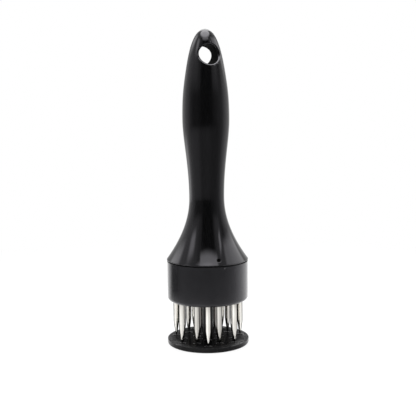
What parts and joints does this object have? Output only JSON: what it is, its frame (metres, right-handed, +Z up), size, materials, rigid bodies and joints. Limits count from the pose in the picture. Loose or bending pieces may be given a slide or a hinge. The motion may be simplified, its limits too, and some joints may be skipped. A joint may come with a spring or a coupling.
{
  "type": "blade meat tenderizer",
  "caption": "Hand-held blade meat tenderizer: upright moulded handle with a hanging hole, twist-off collar, rings of long pointed blades and a sprung guard disc.",
  "frame": {"origin": "centre of the guard disc's underside, which the tool stands on", "axes": "+Z up along the handle; the hanging hole runs along Y, with the lock dot on the -Y side"},
  "size_m": [0.0514, 0.0514, 0.195],
  "materials": {
    "handle_gloss_black": "gloss moulded ABS",
    "collar_satin_black": "satin moulded ABS",
    "block_black": "matt moulded plastic",
    "guard_black": "semi-gloss moulded plastic",
    "post_black": "smooth acetal rod",
    "blade_steel": "polished stainless steel",
    "spring_steel": "drawn stainless spring wire",
    "screw_steel": "plain stainless steel",
    "washer_steel": "stamped stainless steel"
  },
  "bodies": {
    "handle": {"handle": "handle_gloss_black", "return_spring": "spring_steel"},
    "blade_head": {"collar": "collar_satin_black", "blade_block": "block_black", "outer_blade_1": "blade_steel", "outer_blade_2": "blade_steel", "outer_blade_3": "blade_steel", "outer_blade_4": "blade_steel", "outer_blade_5": "blade_steel", "outer_blade_6": "blade_steel", "outer_blade_7": "blade_steel", "middle_blade_1": "blade_steel", "middle_blade_2": "blade_steel", "middle_blade_3": "blade_steel", "middle_blade_4": "blade_steel", "middle_blade_5": "blade_steel", "middle_blade_6": "blade_steel", "middle_blade_7": "blade_steel", "inner_blade_1": "blade_steel", "inner_blade_2": "blade_steel", "inner_blade_3": "blade_steel", "inner_blade_4": "blade_steel", "inner_blade_5": "blade_steel", "inner_blade_6": "blade_steel", "inner_blade_7": "blade_steel"},
    "guard": {"guard_disc": "guard_black", "guide_post": "post_black", "guard_screw": "screw_steel", "stop_washer": "washer_steel", "stop_screw": "screw_steel"}
  },
  "joints": [
    {"name": "head_twist", "type": "hinge", "parent": "handle", "child": "blade_head", "pos_m": [0, 0, 0.0465], "axis": [0, 0, 1], "range_deg": [0, 30]},
    {"name": "guard_slide", "type": "slide", "parent": "blade_head", "child": "guard", "axis": [0, 0, 1], "range_m": [0, 0.0247], "stiffness_N_per_m": 300, "springref_m": -0.015, "deforming": ["return_spring"]}
  ]
}
